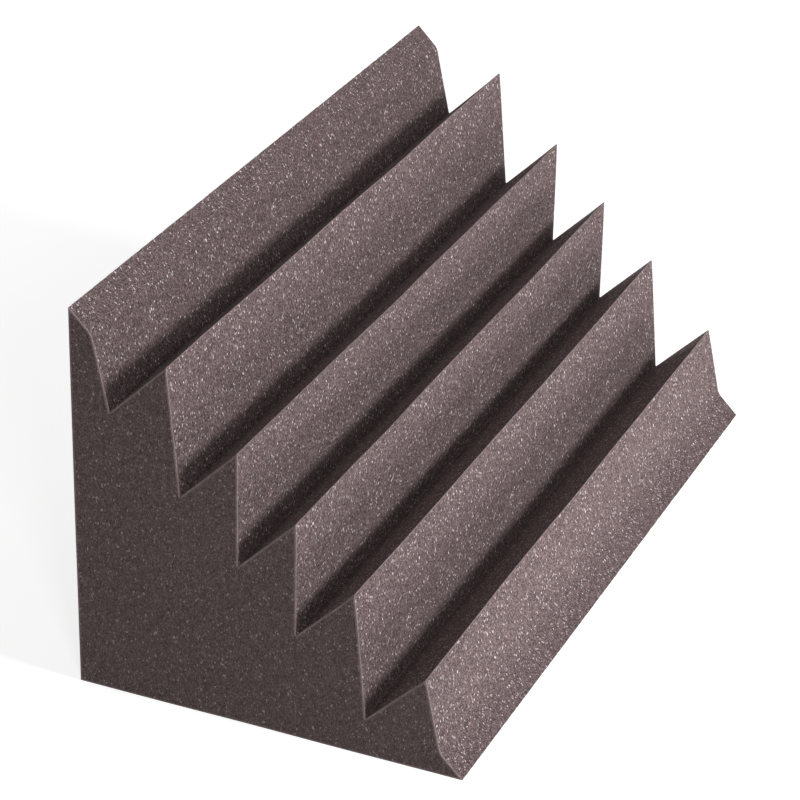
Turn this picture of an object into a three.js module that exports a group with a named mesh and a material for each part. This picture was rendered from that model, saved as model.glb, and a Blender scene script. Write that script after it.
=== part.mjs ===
// Corner bass trap: one wedge of open-cell foam that fills the corner between two walls.
//
// Its two wall faces meet square at the heel edge. The third side faces the room, along the
// diagonal of the square block that the trap is cut from. One contour cut makes that side:
// a narrow land, a row of sharp ridges and another narrow land. The cut has the same form when
// it is turned half round, so both halves of the block come out as the same trap.
//
// Millimetres, +Z up. The block lies on one wall face as it would on a table: the heel edge is
// at -X, the length runs along Y, and the origin is in the middle of the underside.

import * as THREE from 'three';

// The block
const LENGTH = 609.6; // end face to end face
const BOTTOM_WALL_FACE = 304.8; // heel edge to the toe of the wedge
const UPRIGHT_WALL_FACE = 304.8; // heel edge to the top of the wedge

// The ridged cut. The room side runs along the diagonal from the top of the wedge to its toe.
const RIDGE_COUNT = 5;
const RIDGE_DEPTH = 64; // valley floor line to ridge line, half of it on each side of the diagonal
const INNER_PITCH = 63.7; // from one to the next of the middle ridges
const OUTER_PITCH = 77; // from the first ridge to the second, and from the last to the one before
const LAND_WIDTH = 25; // flat strip on the diagonal at each end of the cut

// The blade turns each corner of the cut on a small radius.
const RIDGE_RADIUS = 0.4;
const VALLEY_RADIUS = 0.5;
const LAND_RADIUS = 12; // the gentle bend where a land meets the cut

const ARC_DIVISIONS = 3; // each arc has twice as many facets

const FOAM_COLOUR = 0x78696a;
const FOAM_ROUGHNESS = 0.95;

// The section is drawn with x from the heel edge along the bottom, and y up the wall.
const heel = new THREE.Vector2(0, 0);
const top = new THREE.Vector2(0, UPRIGHT_WALL_FACE);
const toe = new THREE.Vector2(BOTTOM_WALL_FACE, 0);
const diagonal = top.distanceTo(toe);
const middle = top.clone().lerp(toe, 1 / 2);
const along = toe.clone().sub(top).normalize();
const outward = new THREE.Vector2(-along.y, along.x);

// A point of the room side: how far along the diagonal from its middle, and how far proud of it.
function onRoomSide(run, proud) {
  return middle.clone().addScaledVector(along, run).addScaledVector(outward, proud);
}

// Where a ridge stands on the diagonal. Only the outermost step, out to the first and the last
// ridge, has the outer pitch.
function ridgeRun(ridge) {
  const stepsToLast = (RIDGE_COUNT - 1) / 2;
  const steps = ridge - stepsToLast;
  const innerSteps = Math.min(Math.abs(steps), stepsToLast - 1);
  const outerSteps = Math.abs(steps) - innerSteps;
  return Math.sign(steps) * (innerSteps * INNER_PITCH + outerSteps * OUTER_PITCH);
}

// The corners of the section, clockwise from the heel, each with the radius that it is turned on.
function sectionCorners() {
  const landEnd = diagonal / 2 - LAND_WIDTH;
  const corners = [
    { at: heel, radius: 0 },
    { at: top, radius: 0 },
    { at: onRoomSide(-landEnd, 0), radius: LAND_RADIUS },
  ];
  for (let ridge = 0; ridge < RIDGE_COUNT; ridge++) {
    // The upper flank of a ridge stands square to the diagonal, straight above the valley.
    const run = ridgeRun(ridge);
    corners.push({ at: onRoomSide(run, -RIDGE_DEPTH / 2), radius: VALLEY_RADIUS });
    corners.push({ at: onRoomSide(run, RIDGE_DEPTH / 2), radius: RIDGE_RADIUS });
  }
  corners.push({ at: onRoomSide(landEnd, 0), radius: LAND_RADIUS });
  corners.push({ at: toe, radius: 0 });
  return corners;
}

// A closed outline through the corners, with an arc tangent to both sides at each round one.
function roundedOutline(corners) {
  const outline = new THREE.Shape();
  corners.forEach((corner, n) => {
    const before = corners.at(n - 1).at;
    const after = corners[(n + 1) % corners.length].at;
    const back = before.clone().sub(corner.at).normalize();
    const ahead = after.clone().sub(corner.at).normalize();
    if (corner.radius === 0) {
      if (n === 0) outline.moveTo(corner.at.x, corner.at.y);
      else outline.lineTo(corner.at.x, corner.at.y);
      return;
    }
    const halfAngle = Math.acos(back.dot(ahead)) / 2;
    const toTangent = corner.radius / Math.tan(halfAngle);
    const toCentre = corner.radius / Math.sin(halfAngle);
    const start = corner.at.clone().addScaledVector(back, toTangent);
    const end = corner.at.clone().addScaledVector(ahead, toTangent);
    const centre = corner.at.clone().addScaledVector(back.clone().add(ahead).normalize(), toCentre);
    const clockwise = back.cross(ahead) > 0;
    outline.lineTo(start.x, start.y);
    outline.absarc(
      centre.x,
      centre.y,
      corner.radius,
      start.sub(centre).angle(),
      end.sub(centre).angle(),
      clockwise,
    );
  });
  outline.closePath();
  return outline;
}

const foam = new THREE.MeshStandardMaterial({
  color: FOAM_COLOUR,
  roughness: FOAM_ROUGHNESS,
  metalness: 0,
});

// The block is its section drawn out along the corner. The section's height becomes +Z.
function foamBlock() {
  const geometry = new THREE.ExtrudeGeometry(roundedOutline(sectionCorners()), {
    depth: LENGTH,
    bevelEnabled: false,
    curveSegments: ARC_DIVISIONS,
  });
  const block = new THREE.Mesh(geometry, foam);
  block.name = 'foam_block';
  block.rotation.x = Math.PI / 2;
  block.position.set(-BOTTOM_WALL_FACE / 2, LENGTH / 2, 0);
  return block;
}

const group = new THREE.Group();
group.name = 'corner_bass_trap';
group.add(foamBlock());

export default group;
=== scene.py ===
# Corner bass trap: the surface of its foam block, the floor it lies on, the lamps and the camera.
#
# Metres, +Z up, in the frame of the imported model. The block lies on its bottom wall face, with
# its heel edge at -X and its length along Y.

import math

import bmesh
import bpy
import numpy as np
from mathutils import Matrix, Quaternion, Vector, noise
from mathutils.geometry import delaunay_2d_cdt


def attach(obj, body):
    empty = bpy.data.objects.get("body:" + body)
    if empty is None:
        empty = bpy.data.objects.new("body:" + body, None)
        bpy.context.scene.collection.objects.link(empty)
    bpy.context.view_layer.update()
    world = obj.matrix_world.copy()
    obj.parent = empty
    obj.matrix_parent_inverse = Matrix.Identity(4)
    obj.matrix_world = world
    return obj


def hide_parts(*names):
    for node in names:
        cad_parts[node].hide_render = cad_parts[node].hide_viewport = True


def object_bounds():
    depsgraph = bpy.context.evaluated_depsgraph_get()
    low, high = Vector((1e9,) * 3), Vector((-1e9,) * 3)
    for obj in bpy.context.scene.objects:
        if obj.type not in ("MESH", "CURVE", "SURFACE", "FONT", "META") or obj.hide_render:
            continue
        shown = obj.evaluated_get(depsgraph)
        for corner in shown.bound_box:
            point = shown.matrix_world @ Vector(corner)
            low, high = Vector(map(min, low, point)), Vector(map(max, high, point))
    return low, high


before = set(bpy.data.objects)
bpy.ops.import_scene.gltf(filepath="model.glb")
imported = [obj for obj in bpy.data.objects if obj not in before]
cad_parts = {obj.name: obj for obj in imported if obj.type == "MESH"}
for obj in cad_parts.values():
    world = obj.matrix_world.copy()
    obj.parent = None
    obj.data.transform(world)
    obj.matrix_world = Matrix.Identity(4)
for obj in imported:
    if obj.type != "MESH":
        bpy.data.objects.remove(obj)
cad_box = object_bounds()

MM = 0.001
NEAR_END = -math.pi / 2  # the azimuth of the way out of the near end face

# Camera
AIM = Vector((-32, 0, 116.3)) * MM
VIEW_AZIMUTH = math.radians(23.2)  # from the near end face round towards the toe
VIEW_ELEVATION = math.radians(27.54)
VIEW_ROLL = math.radians(1.16)
VIEW_DISTANCE = 2.47
SENSOR = 36  # millimetres
LENS = 141.8  # millimetres

# How the CAD section is read
WELD = MM / 100  # corners nearer to each other than this are one
NEAR_END_NORMAL = -0.9  # the most that y can be in the normal of a near end face
SHORTEST_FLAT = 5 * MM  # a shorter side of the section is a facet of an arc
SHARP_TURN = math.radians(60)  # a corner that turns further than this is a crest

# How finely the surface is divided
CLOSE_ROWS = np.array([0, 0.4, 1.2, 2.6, 5]) * MM  # from each corner and each end
ROOM_STEP = 7.5 * MM  # across the flanks and lands
WALL_STEP = 17 * MM  # across the two wall faces
LENGTH_STEP = 2.3 * MM
CAP_STEP = 9 * MM
CAP_WELD = MM / 1000  # points of an end face nearer to each other than this are one
INSIDE_ONLY = 1  # makes delaunay_2d_cdt keep the triangles inside the border
CORNER_DIVISIONS = 4
RIM_DIVISIONS = 3

# The sawn edges, with a paler strip painted along them as a highlight
SAWN_EDGE = 0.5 * MM  # the least that a corner of the section is worn back
RIM = 0.45 * MM  # how far the edges round the end faces are worn back
FRAYED_HIGHLIGHT_BAND = 1.05 * MM  # the most that the paler strip of painted edge highlight takes on each side of a rim
FRAYED_HIGHLIGHT_REACH = 0.9 * MM  # from a crest's sharp corner, to the end of its paler strip of painted highlight

# How the cut wanders: foam gives under the blade, so no face is dead flat.
FACE_WAVE = 0.35 * MM  # from the lowest place to the highest
FACE_WAVELENGTH = 70 * MM
FACE_WAVE_REACH = 8 * MM  # the waves fade out this near to a crest
CREST_WANDER = 0.6 * MM  # to each side
CREST_WAVELENGTH = 110 * MM
CREST_REACH = 12 * MM
RIDGE_NIBBLE = 0.65 * MM  # how deep the bites are along a ridge
WALL_NIBBLE = 0.3 * MM  # and along the wall faces' edges
NIBBLE_LENGTH = 3.5 * MM
NIBBLE_REACH = 1.4 * MM
END_REACH = 6 * MM  # how far along the block the waves of an end face reach
FACE_SEED, CREST_SEED, NIBBLE_SEED, END_SEED = 1, 2, 3, 5
SEED_SHIFTS = (17.3, 5.9, 11.1)  # from one seed's noise to the next one's, in wavelengths
NOISE_GAIN = 1.6  # spreads the noise over nearly all of -1 to 1

# The layout of the texture: a piece of foam, with a part for the cut faces, one for the sawn end
# faces beyond it, and a lane at their side for the fraying edges, painted paler as a highlight.
# Faces of a kind read the same foam.
UV_MAP = "OFBake"
TEXTURE = (312 * MM, 400 * MM)
FOLDS = 3  # the length is laid in the texture in as many pieces, one over the other
EDGE_LANE = 307 * MM  # past the widest face
END_LANE = 207 * MM  # past the longest fold
LANE_MARGIN = 1  # millimetres before a lane where its foam begins
LANE_STEP_SHARE = 0.618  # from one flat's lane to the next one's, of the width to spare
RISE = 1.6  # a foam cell is this much taller than wide, because foam rises as it sets

# The foam. Colours are linear, and sizes of the pattern are in millimetres.
FOAM = (0.2, 0.146, 0.146, 1)
# Painted highlight: fraying fibres along the edges, painted paler where they catch light
FRAYED_HIGHLIGHT = (0.29, 0.222, 0.22, 1)
FRAYED_GRAIN = 0.3  # how much of the cut face's grain a frayed edge keeps
# Painted glint: the colour of pale spots that stand in for light glinting off cell windows
GLINT = (0.95, 0.86, 0.86, 1)
ROUGHNESS = 0.95
SPECULAR = 0.15
CELL = 0.62
TILT = 0.7  # the greatest slope of a cut cell, across and along
CUT_SHADES = (0.36, 1.7)  # from the darkest cell of a cut face to the palest
SAWN_SHADES = (0.6, 1.4)
SHADE_POWER = 1.7
MOTTLE = 5.0
MOTTLE_DETAIL = 2.0
MOTTLE_RANGE = (0.3, 0.7)  # of the noise, from the darkest patch to the palest
MOTTLE_SHADES = (0.93, 1.07)
# Of each kind of painted glint: the spot size, the share of places left empty, and how rare the strongest
# are.
PAINTED_GLINTS = ((1.0, 0.91, 2.0), (1.4, 0.994, 0.5))
GLINT_EDGE = (0.42, 0.6)  # a glint spot's radius where it is whole and where it ends, in spot sizes
GLINT_REACH = (0.7, 1.3)  # the stronger a painted glint, the larger its spot
# Painted glints are weaker on the sawn end faces, which the lamps light less
SAWN_GLINTS = 0.4

# Lamps, with their powers in watts
KEY_AZIMUTH = math.radians(8)  # from +X round towards the near end face
KEY_ELEVATION = math.radians(29.4)
KEY_DISTANCE = 2.8
KEY_SIZE = 0.458
KEY_POWER = 59
BOUNCE_SIZE = (1.4, 1.1)
BOUNCE_GAP = 0.02  # from the toe to the lit part of the table
BOUNCE_LIFT = MM  # above the table
BOUNCE_POWER = 9.1
FILL_AZIMUTH = math.radians(33)  # from the near end face round towards the toe
FILL_ELEVATION = VIEW_ELEVATION
FILL_DISTANCE = 4
FILL_SIZE = 0.5
FILL_POWER = 32.5
TOP_AZIMUTH = math.radians(80)  # from +X round towards the far end face
TOP_ELEVATION = math.radians(62)
TOP_DISTANCE = 1.4
TOP_SIZE = 0.8
TOP_POWER = 3.0
BACK_AZIMUTH = math.radians(145)  # from +X round towards the far end face
BACK_ELEVATION = math.radians(12)
BACK_DISTANCE = 3.3
BACK_SIZE = 0.7
BACK_POWER = 28

# Floor and backdrop
AMBIENT = 0.14  # how strongly the backdrop lights the block
FLOOR_COLOUR = (0.5, 0.5, 0.5, 1)
FLOOR_SIZE = 60
FLOOR_WHITE = 0.77  # the floor's own glow near the block, on top of its lamplight
FLOOR_NEAR = (0.6, 2.2)  # how far out the glow starts to rise, and where it is white


def aim_camera():
    """Puts the camera where the photograph was taken from."""
    data = bpy.data.cameras.new("camera")
    data.sensor_width = SENSOR
    data.lens = LENS
    back = direction(NEAR_END + VIEW_AZIMUTH, VIEW_ELEVATION)
    camera = bpy.data.objects.new("camera", data)
    camera.location = AIM + back * VIEW_DISTANCE
    camera.rotation_mode = "QUATERNION"
    camera.rotation_quaternion = back.to_track_quat("Z", "Y") @ Quaternion((0, 0, 1), VIEW_ROLL)
    bpy.context.collection.objects.link(camera)
    bpy.context.scene.camera = camera


def direction(azimuth, elevation):
    """A unit vector, with the azimuth turned from +X towards +Y."""
    level = math.cos(elevation)
    return Vector((math.cos(azimuth) * level, math.sin(azimuth) * level, math.sin(elevation)))


def section_outline(node):
    """The corners of a CAD node's near end face, in order from the heel, as (x, z) points."""
    solid = bmesh.new()
    solid.from_mesh(node.data)
    bmesh.ops.remove_doubles(solid, verts=solid.verts, dist=WELD)
    after = {}
    for face in solid.faces:
        if face.normal.y > NEAR_END_NORMAL:
            continue
        for loop in face.loops:
            if any(other.normal.y > NEAR_END_NORMAL for other in loop.edge.link_faces):
                after[loop.vert] = loop.link_loop_next.vert
    heel = min(after, key=lambda vertex: vertex.co.x + vertex.co.z)
    outline, at = [], heel
    while not outline or at is not heel:
        outline.append(Vector((at.co.x, at.co.z)))
        at = after[at]
    solid.free()
    return outline


class Section:
    """The flats of the section, in order from the heel, and the corners where they meet."""

    def __init__(self, outline):
        sides = zip(outline, outline[1:] + outline[:1])
        self.flats = [(a, b) for a, b in sides if (b - a).length > SHORTEST_FLAT]
        self.count = len(self.flats)
        self.along = [(b - a).normalized() for a, b in self.flats]
        self.inward = [Vector((-t.y, t.x)) for t in self.along]
        self.sharp = self.corners(0)
        ends = [b for _, b in self.flats]
        self.worn = [max((c - end).length, SAWN_EDGE) for c, end in zip(self.sharp, ends)]
        nexts = self.along[1:] + self.along[:1]
        self.turn = [math.atan2(t.cross(u), t.dot(u)) for t, u in zip(self.along, nexts)]
        self.divisions = [self.middle_divisions(n) for n in range(self.count)]

    def corners(self, inset):
        """Where each flat's line meets the next one's, with every line moved inwards by inset."""
        found = []
        for n in range(self.count):
            m = (n + 1) % self.count
            start = self.flats[n][0] + self.inward[n] * inset
            other = self.flats[m][0] + self.inward[m] * inset
            reach = (other - start).cross(self.along[m]) / self.along[n].cross(self.along[m])
            found.append(start + self.along[n] * reach)
        return found

    def into_corner(self, n):
        """The way into the foam along the middle line of a corner."""
        return (self.inward[n] + self.inward[(n + 1) % self.count]).normalized()

    def cut_back(self, n, inset):
        """How far from a corner its arc starts. A valley's arc grows as the lines move inwards."""
        return self.worn[n] + inset * max(-math.tan(self.turn[n] / 2), 0)

    def middle_divisions(self, n):
        """How many steps a flat has between the close rows at its ends."""
        on_wall = n in (0, self.count - 1)
        start, end = self.flats[n]
        middle = (end - start).length - 2 * CLOSE_ROWS[-1]
        return math.ceil(middle / (WALL_STEP if on_wall else ROOM_STEP))

    def ring(self, inset=0):
        """Every point of the section, moved inwards by inset: each flat's, then its end corner's."""
        corners = self.corners(inset)
        points = []
        for n in range(self.count):
            start = corners[n - 1] + self.along[n] * self.cut_back(n - 1, inset)
            end = corners[n] - self.along[n] * self.cut_back(n, inset)
            length = (end - start).length
            points += [start + self.along[n] * row for row in rows(length, self.divisions[n])]
            to_centre = self.inward[n] * self.cut_back(n, inset) / math.tan(self.turn[n] / 2)
            for step in range(1, CORNER_DIVISIONS):
                turned = Matrix.Rotation(self.turn[n] * step / CORNER_DIVISIONS, 2)
                points.append(end + to_centre - turned @ to_centre)
        return np.array(points)

    def flat_of_points(self):
        """For each point of a ring, the flat that it lies on, or that ends in its corner."""
        in_corner = CORNER_DIVISIONS - 1
        counts = [len(rows(1, divisions)) + in_corner for divisions in self.divisions]
        return np.repeat(np.arange(self.count), counts)


def rows(length, divisions):
    """Places along a length, close together at both ends."""
    middle = np.linspace(CLOSE_ROWS[-1], length - CLOSE_ROWS[-1], divisions + 1)
    return np.concatenate([CLOSE_ROWS[:-1], middle, length - CLOSE_ROWS[-2::-1]])


def waves(points, wavelength, seed):
    """Smooth noise from -1 to 1 at each point."""
    offset = Vector([seed * shift for shift in SEED_SHIFTS])
    flat = points.reshape(-1, 3) / wavelength
    values = [noise.noise(Vector(p) + offset) for p in flat]
    return np.clip(np.array(values) * NOISE_GAIN, -1, 1).reshape(points.shape[:-1])


def fade(distance, reach):
    """1 at no distance, falling smoothly to almost nothing at twice the reach."""
    return np.exp(-((distance / reach) ** 2))


class Block:
    """The foam block's surface: rings of the section from end to end, closed by two caps."""

    def __init__(self, section):
        self.section = section
        self.half_length = cad_box[1].y
        self.read_section()
        self.lay_rings()
        self.points = self.wander(self.points)
        self.vertices = list(self.points.reshape(-1, 3))
        self.faces = []
        self.texture = []
        self.skin()
        self.cap(0)
        self.cap(len(self.y) - 1)

    def read_section(self):
        """Each ring point's place along its flat, its nearest crest, and the ways into the foam."""
        section, ring = self.section, self.section.ring()
        self.flat = section.flat_of_points()
        self.count = len(ring)
        self.after = (np.arange(self.count) + 1) % self.count
        step = np.linalg.norm(ring[self.after] - ring, axis=1)
        place = np.zeros(self.count)
        for s in range(1, self.count):
            if self.flat[s] == self.flat[s - 1]:
                place[s] = place[s - 1] + step[s - 1]
        self.across = np.stack([place, place + step], 1)
        tangent = ring[self.after] - np.roll(ring, 1, 0)
        tangent /= np.linalg.norm(tangent, axis=1)[:, None]
        self.inward = np.stack([-tangent[:, 1], np.zeros(self.count), tangent[:, 0]], 1)
        crests = [n for n in range(section.count) if section.turn[n] > SHARP_TURN]
        away = np.array([np.linalg.norm(ring - np.array(section.sharp[n]), axis=1) for n in crests])
        self.crest = away.argmin(0)
        self.to_crest = away.min(0)
        into = [section.into_corner(n) for n in crests]
        self.into_crest = np.array([(way.x, 0, way.y) for way in into])[self.crest]
        # Corner 0 is the toe edge, and the last two are the top edge and the heel edge.
        self.at_ridge = np.array([0 < n < section.count - 2 for n in crests])[self.crest]

    def lay_rings(self):
        """The rings from the near cap to the far one: a band of the cap, the rim, and the length."""
        turns = [math.pi / 2 * step / RIM_DIVISIONS for step in range(RIM_DIVISIONS)]
        rim = [(RIM * (1 - math.sin(a)), RIM * (1 - math.cos(a))) for a in turns]
        near = [(RIM + FRAYED_HIGHLIGHT_BAND, 0), *rim]
        straight = 2 * (self.half_length - RIM)
        divisions = 2 * math.ceil((straight / 2 - CLOSE_ROWS[-1]) / LENGTH_STEP)
        length = [(0, RIM + row) for row in rows(straight, divisions)]
        far = [(inset, 2 * self.half_length - y) for inset, y in reversed(near)]
        rings = near + length + far
        self.inset = np.array([inset for inset, _ in rings])
        self.y = np.array([y for _, y in rings]) - self.half_length
        shapes = {inset: self.section.ring(inset) for inset in set(self.inset)}
        flat = np.array([shapes[inset] for inset in self.inset])
        y = np.broadcast_to(self.y[:, None], flat.shape[:2])
        self.points = np.stack([flat[:, :, 0], y, flat[:, :, 1]], 2)

    def wander(self, points):
        """The points as a blade leaves them that cuts something soft."""
        crest_line = np.stack(np.broadcast_arrays(self.crest, points[:, :, 1], 0.0), 2)
        wave = waves(points, FACE_WAVELENGTH, FACE_SEED) / 2
        depth = FACE_WAVE * wave * (1 - fade(self.to_crest, FACE_WAVE_REACH))
        nibble = waves(crest_line, NIBBLE_LENGTH, NIBBLE_SEED).clip(0)
        deepest = np.where(self.at_ridge, RIDGE_NIBBLE, WALL_NIBBLE)
        bite = deepest * nibble * fade(self.to_crest, NIBBLE_REACH)
        near_ridge = fade(self.to_crest, CREST_REACH) * self.at_ridge
        drift = waves(crest_line, CREST_WAVELENGTH, CREST_SEED) * near_ridge
        diagonal = np.array([1, 0, -1]) / math.sqrt(2)
        moved = points + depth[:, :, None] * self.inward + bite[:, :, None] * self.into_crest
        moved += CREST_WANDER * drift[:, :, None] * diagonal
        from_end = self.half_length - np.abs(self.y)
        moved[:, :, 1] -= (np.sign(self.y) * fade(from_end, END_REACH))[:, None] * self.end_wave(points)
        moved[:, :, 2] = moved[:, :, 2].clip(cad_box[0].z)
        return moved

    def end_wave(self, points):
        """How far the points of an end face lie inside its plane, or outside where it is negative."""
        return FACE_WAVE * waves(points, FACE_WAVELENGTH, END_SEED) / 2

    def face_lanes(self):
        """Each flat's own place across the texture, and how tall its cells are drawn."""
        tall = np.array([1 / math.hypot(t.x, t.y / RISE) for t in self.section.along])
        width = np.array([self.across[self.flat == n].max() for n in range(self.section.count)]) / tall
        starts = (np.arange(self.section.count) * LANE_STEP_SHARE) % 1 * (EDGE_LANE - width).clip(0)
        return starts, tall

    def lanes(self):
        """Where both sides of each strip along the block lie across the texture."""
        starts, tall = self.face_lanes()
        face_lane = starts[self.flat, None] + self.across / tall[self.flat, None]
        to_crest = np.stack([self.to_crest, self.to_crest[self.after]], 1)
        # Strips by a crest go to the lane of the paler, painted edge highlight
        frayed_highlight = to_crest.max(1, keepdims=True) < FRAYED_HIGHLIGHT_REACH
        return np.where(frayed_highlight, EDGE_LANE + to_crest, face_lane)

    def rim_profile(self):
        """Where each ring lies across the lane of the painted edge highlight, counted from the nearer cap
        over its rim.
        """
        steps = np.hypot(np.diff(self.inset), np.diff(self.y))
        profile = np.concatenate([[0], np.cumsum(steps)])
        return EDGE_LANE + np.minimum(profile, profile[-1] - profile)

    def skin(self):
        """The faces between the rings, with their corners' places on the texture."""
        lanes = self.lanes()
        profile = self.rim_profile()
        rim_end = EDGE_LANE + RIM * math.pi / 2 + 2 * FRAYED_HIGHLIGHT_BAND
        fold_rows = math.ceil((len(self.y) - 1) / FOLDS)
        for r in range(len(self.y) - 1):
            p, q = profile[r : r + 2]
            on_rim = max(p, q) < rim_end
            y, z = self.y[r : r + 2] - self.y[r // fold_rows * fold_rows]
            for s in range(self.count):
                a, b = r * self.count + s, r * self.count + self.after[s]
                self.faces.append((a, a + self.count, b + self.count, b))
                if on_rim:
                    t, u = self.across[s]
                    self.texture += [(p, t), (q, t), (q, u), (p, u)]
                else:
                    t, u = lanes[s]
                    self.texture += [(t, y), (t, z), (u, z), (u, y)]

    def cap(self, r):
        """Fills an end face inside the ring r with triangles."""
        ring = self.section.ring(self.inset[r])
        inner = inside_points(ring)
        flat_points = [Vector(p) for p in np.concatenate([ring, inner])]
        border = [list(range(self.count))]
        _, _, triangles, sources, _, _ = delaunay_2d_cdt(flat_points, [], border, INSIDE_ONLY, CAP_WELD)
        first = len(self.vertices)
        numbers = [*range(r * self.count, (r + 1) * self.count), *range(first, first + len(inner))]
        placed = np.stack([inner[:, 0], np.full(len(inner), self.y[r]), inner[:, 1]], 1)
        placed[:, 1] -= np.sign(self.y[r]) * self.end_wave(placed)
        self.vertices += list(placed)
        for triangle in triangles:
            corners = [sources[v][0] for v in triangle]
            if self.y[r] > 0:
                corners.reverse()
            self.faces.append([numbers[v] for v in corners])
            for v in corners:
                x, z = flat_points[v]
                self.texture.append((x - cad_box[0].x, END_LANE + z / RISE))

    def build(self, name):
        """The piece, with its texture map and smooth shading."""
        mesh = bpy.data.meshes.new(name)
        mesh.from_pydata(self.vertices, [], self.faces)
        layer = mesh.uv_layers.new(name=UV_MAP)
        layer.uv.foreach_set("vector", (np.array(self.texture) / TEXTURE).astype(np.float32).ravel())
        mesh.shade_smooth()
        piece = bpy.data.objects.new(name, mesh)
        bpy.context.collection.objects.link(piece)
        return piece


def inside_points(outline):
    """Points on a triangular grid that lie inside an outline, clear of its edge."""
    low, high = outline.min(0), outline.max(0)
    across = np.arange(low[0], high[0], CAP_STEP)
    up = np.arange(low[1], high[1], CAP_STEP * math.sqrt(3) / 2)
    x, z = np.meshgrid(across, up)
    x = x + CAP_STEP / 2 * (np.arange(len(up)) % 2)[:, None]
    points = np.stack([x.ravel(), z.ravel()], 1)
    start, side = outline, np.roll(outline, -1, 0) - outline
    to = points[:, None] - start
    share = ((to * side).sum(2) / (side**2).sum(1)).clip(0, 1)
    gap = np.linalg.norm(to - share[:, :, None] * side, axis=2).min(1)
    crosses = (start[:, 1] > points[:, None, 1]) != (start[:, 1] + side[:, 1] > points[:, None, 1])
    reach = side[:, 0] * to[:, :, 1] / np.where(side[:, 1] == 0, 1, side[:, 1]) - to[:, :, 0]
    inside = (crosses & (reach > 0)).sum(1) % 2 == 1
    return points[inside & (gap > CAP_STEP / 2)]


class Nodes:
    """Builds the nodes of a material or a world, each placed to the right of the last.

    A Mix node's inputs 2 and 3 take numbers, and its inputs 6 and 7 colours.
    """

    STEP = 200  # from each node to the next, in the node editor's own units

    def __init__(self, owner):
        owner.use_nodes = True
        self.tree = owner.node_tree
        self.tree.nodes.clear()

    def add(self, kind, inputs=(), **settings):
        node = self.tree.nodes.new(kind)
        node.location.x = len(self.tree.nodes) * self.STEP
        for name, value in settings.items():
            setattr(node, name, value)
        for key, value in dict(inputs).items():
            if isinstance(value, bpy.types.NodeSocket):
                self.tree.links.new(value, node.inputs[key])
            else:
                node.inputs[key].default_value = value
        return node

    def math(self, operation, a, b=0.0):
        return self.add("ShaderNodeMath", {0: a, 1: b}, operation=operation).outputs[0]

    def ramp(self, value, low, high, to_low=0.0, to_high=1.0, smooth=True):
        kind = "SMOOTHSTEP" if smooth else "LINEAR"
        inputs = {"Value": value, "From Min": low, "From Max": high, "To Min": to_low, "To Max": to_high}
        return self.add("ShaderNodeMapRange", inputs, interpolation_type=kind).outputs["Result"]

    def mix(self, share, a, b):
        return self.add("ShaderNodeMix", {0: share, 6: a, 7: b}, data_type="RGBA").outputs[2]

    def blend(self, share, a, b):
        return self.add("ShaderNodeMix", {0: share, 2: a, 3: b}, data_type="FLOAT").outputs[0]

    def vector(self, operation, a, b=(0, 0, 0), c=(0, 0, 0), output="Vector"):
        return self.add("ShaderNodeVectorMath", {0: a, 1: b, 2: c}, operation=operation).outputs[output]

    def scaled(self, colour, by):
        return self.add("ShaderNodeVectorMath", {0: colour, "Scale": by}, operation="SCALE").outputs[0]

    def voronoi(self, place, cell):
        inputs = {"Vector": place, "Scale": 1 / cell}
        return self.add("ShaderNodeTexVoronoi", inputs, voronoi_dimensions="2D")

    def noise(self, place, size, detail):
        inputs = {"Vector": place, "Scale": 1 / size, "Detail": detail}
        return self.add("ShaderNodeTexNoise", inputs, noise_dimensions="2D").outputs[0]


def painted_glints(nodes, place, size, empty, power):
    """How strong the painted glints of one size are at a place: pale spots standing in for light glinting
    off cell windows.
    """
    grid = nodes.voronoi(place, size)
    luck = nodes.add("ShaderNodeSeparateColor", {0: grid.outputs["Color"]}).outputs[0]
    reach = nodes.ramp(luck, empty, 1.0, *GLINT_REACH, smooth=False)
    spot = nodes.ramp(nodes.math("DIVIDE", grid.outputs["Distance"], reach), *GLINT_EDGE, 1.0, 0.0)
    bright = nodes.math("POWER", nodes.ramp(luck, empty, 1.0, smooth=False), power)
    return nodes.math("MULTIPLY", spot, bright)


def cell_relief(nodes, place, cells, grain):
    """The normal of foam whose cells are cut to facets, each with a tilt of its own."""
    from_middle = nodes.vector("SUBTRACT", place, cells.outputs["Position"])
    tilt = nodes.vector("MULTIPLY_ADD", cells.outputs["Color"], (2 * TILT, 2 * TILT, 0), (-TILT, -TILT, 0))
    height = nodes.vector("DOT_PRODUCT", from_middle, tilt, output="Value")
    return nodes.add("ShaderNodeBump", {"Height": height, "Distance": MM, "Strength": grain}).outputs[0]


def foam_colour(nodes, place, cells, sawn, frayed_highlight, grain):
    """A shade for each cell, with broad faint patches, paler fraying edges as a painted highlight, and
    painted glints: pale spots among the cells.
    """
    luck = nodes.add("ShaderNodeSeparateColor", {0: cells.outputs["Color"]}).outputs[2]
    luck = nodes.math("POWER", luck, SHADE_POWER)
    cut = nodes.ramp(luck, 0, 1, *CUT_SHADES, smooth=False)
    finer = nodes.ramp(luck, 0, 1, *SAWN_SHADES, smooth=False)
    own = nodes.blend(grain, 1.0, nodes.blend(sawn, cut, finer))
    mottle = nodes.ramp(nodes.noise(place, MOTTLE, MOTTLE_DETAIL), *MOTTLE_RANGE, *MOTTLE_SHADES)
    # The fraying edges get the paler colour, a painted highlight
    plain = nodes.scaled(nodes.mix(frayed_highlight, FOAM, FRAYED_HIGHLIGHT), nodes.math("MULTIPLY", own, mottle))
    small, large = (painted_glints(nodes, place, *kind) for kind in PAINTED_GLINTS)
    # The strongest painted glint at each place, weaker on the sawn end faces
    strongest_glint = nodes.math("MAXIMUM", small, large)
    bright = nodes.math("MULTIPLY", strongest_glint, nodes.blend(sawn, grain, SAWN_GLINTS))
    # Painted glints: pale spots mixed into the colour where light would glint
    return nodes.mix(bright, plain, GLINT)


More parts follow.
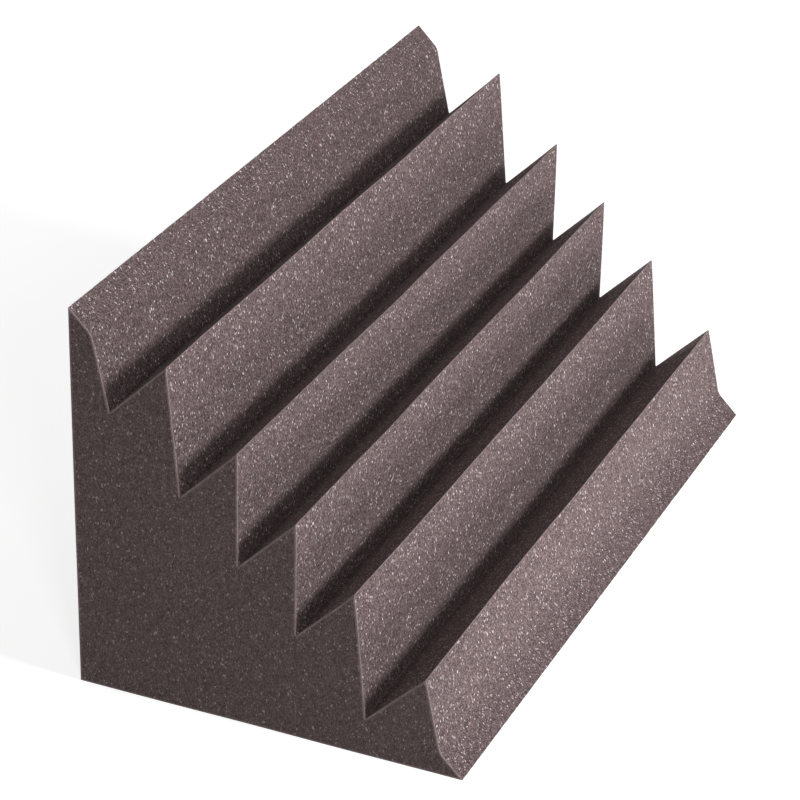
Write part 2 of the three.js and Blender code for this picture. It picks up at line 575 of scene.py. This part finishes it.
def foam_material():
    """Cut open-cell foam, with a painted highlight on its fraying edges and painted glints in its colour.
    The texture's layout says which places are sawn and which are fraying edges.
    """
    material = bpy.data.materials.new("foam")
    nodes = Nodes(material)
    layout = nodes.add("ShaderNodeUVMap", uv_map=UV_MAP).outputs[0]
    place = nodes.vector("MULTIPLY", layout, (TEXTURE[0] / MM, TEXTURE[1] / MM, 1))
    across, along, _ = nodes.add("ShaderNodeSeparateXYZ", {0: place}).outputs
    sawn = nodes.math("GREATER_THAN", along, END_LANE / MM - LANE_MARGIN)
    # The lane of the fraying edges, painted paler as a highlight
    frayed_highlight = nodes.ramp(across, EDGE_LANE / MM - LANE_MARGIN, EDGE_LANE / MM)
    grain = nodes.blend(frayed_highlight, 1.0, FRAYED_GRAIN)
    cells = nodes.voronoi(place, CELL)
    surface = nodes.add("ShaderNodeBsdfPrincipled", {
        "Base Color": foam_colour(nodes, place, cells, sawn, frayed_highlight, grain),
        "Roughness": ROUGHNESS,
        "Specular IOR Level": SPECULAR,
        "Normal": cell_relief(nodes, place, cells, grain),
    })
    nodes.add("ShaderNodeOutputMaterial", {"Surface": surface.outputs[0]})
    return material


def foam_block():
    """The one piece, in the place of its CAD node."""
    section = Section(section_outline(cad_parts["foam_block"]))
    piece = Block(section).build("foam_surface")
    piece.data.materials.append(foam_material())
    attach(piece, "root")
    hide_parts("foam_block")


def area_lamp(name, place, towards, power, size):
    """A lamp with a width and a length, which the camera doesn't see."""
    data = bpy.data.lights.new(name, "AREA")
    data.shape = "RECTANGLE"
    data.size, data.size_y = size
    data.energy = power
    lamp = bpy.data.objects.new(name, data)
    lamp.location = place
    lamp.rotation_euler = (place - towards).to_track_quat("Z", "Y").to_euler()
    lamp.visible_camera = False
    bpy.context.collection.objects.link(lamp)


def studio_lamp(name, azimuth, elevation, distance, power, size):
    """A square lamp that looks at the middle of the block."""
    middle = (cad_box[0] + cad_box[1]) / 2
    place = middle + direction(azimuth, elevation) * distance
    area_lamp(name, place, middle, power, (size, size))


def table_glow():
    """The light that the bright table beside the toe throws upwards."""
    wide, long = BOUNCE_SIZE
    place = Vector((cad_box[1].x + BOUNCE_GAP + wide / 2, cad_box[0].y + long / 2, BOUNCE_LIFT))
    area_lamp("table_glow", place, place + Vector((0, 0, 1)), BOUNCE_POWER, BOUNCE_SIZE)


def light():
    """A soft key from the toe side, the table's glow, and weaker lamps in front, above and behind."""
    studio_lamp("key", -KEY_AZIMUTH, KEY_ELEVATION, KEY_DISTANCE, KEY_POWER, KEY_SIZE)
    table_glow()
    studio_lamp("fill", NEAR_END + FILL_AZIMUTH, FILL_ELEVATION, FILL_DISTANCE, FILL_POWER, FILL_SIZE)
    studio_lamp("top", TOP_AZIMUTH, TOP_ELEVATION, TOP_DISTANCE, TOP_POWER, TOP_SIZE)
    studio_lamp("back", BACK_AZIMUTH, BACK_ELEVATION, BACK_DISTANCE, BACK_POWER, BACK_SIZE)


def seen(nodes):
    """1 for the rays that show the surroundings: the camera's, those off gloss and through glass."""
    path = nodes.add("ShaderNodeLightPath").outputs
    plain = nodes.math("MAXIMUM", path["Is Camera Ray"], path["Is Glossy Ray"])
    return nodes.math("MAXIMUM", plain, path["Is Transmission Ray"])


def floor_material():
    """A matt grey that keeps the block's shadow, under a glow of its own that makes it white."""
    material = bpy.data.materials.new("floor")
    nodes = Nodes(material)
    lit = nodes.add("ShaderNodeBsdfDiffuse", {"Color": FLOOR_COLOUR})
    place = nodes.add("ShaderNodeTexCoord").outputs["Object"]
    away = nodes.vector("LENGTH", place, output="Value")
    white = nodes.ramp(away, *FLOOR_NEAR, FLOOR_WHITE, 1.0)
    glow = nodes.add("ShaderNodeEmission", {"Strength": nodes.math("MULTIPLY", seen(nodes), white)})
    both = nodes.add("ShaderNodeAddShader", {0: lit.outputs[0], 1: glow.outputs[0]})
    nodes.add("ShaderNodeOutputMaterial", {"Surface": both.outputs[0]})
    return material


def floor():
    """The white table that the block lies on."""
    mesh = bpy.data.meshes.new("floor")
    half = FLOOR_SIZE / 2
    corners = [(-half, -half, 0), (half, -half, 0), (half, half, 0), (-half, half, 0)]
    mesh.from_pydata(corners, [], [(0, 1, 2, 3)])
    mesh.materials.append(floor_material())
    plane = bpy.data.objects.new("floor", mesh)
    bpy.context.collection.objects.link(plane)


def backdrop():
    """A pale surround for the camera, and a dim even light for the block."""
    world = bpy.data.worlds.new("backdrop")
    bpy.context.scene.world = world
    nodes = Nodes(world)
    strength = nodes.ramp(seen(nodes), 0, 1, AMBIENT, 1.0, smooth=False)
    sky = nodes.add("ShaderNodeBackground", {"Strength": strength})
    nodes.add("ShaderNodeOutputWorld", {"Surface": sky.outputs[0]})


aim_camera()
foam_block()
light()
floor()
backdrop()
bpy.context.scene.view_settings.view_transform = "Standard"
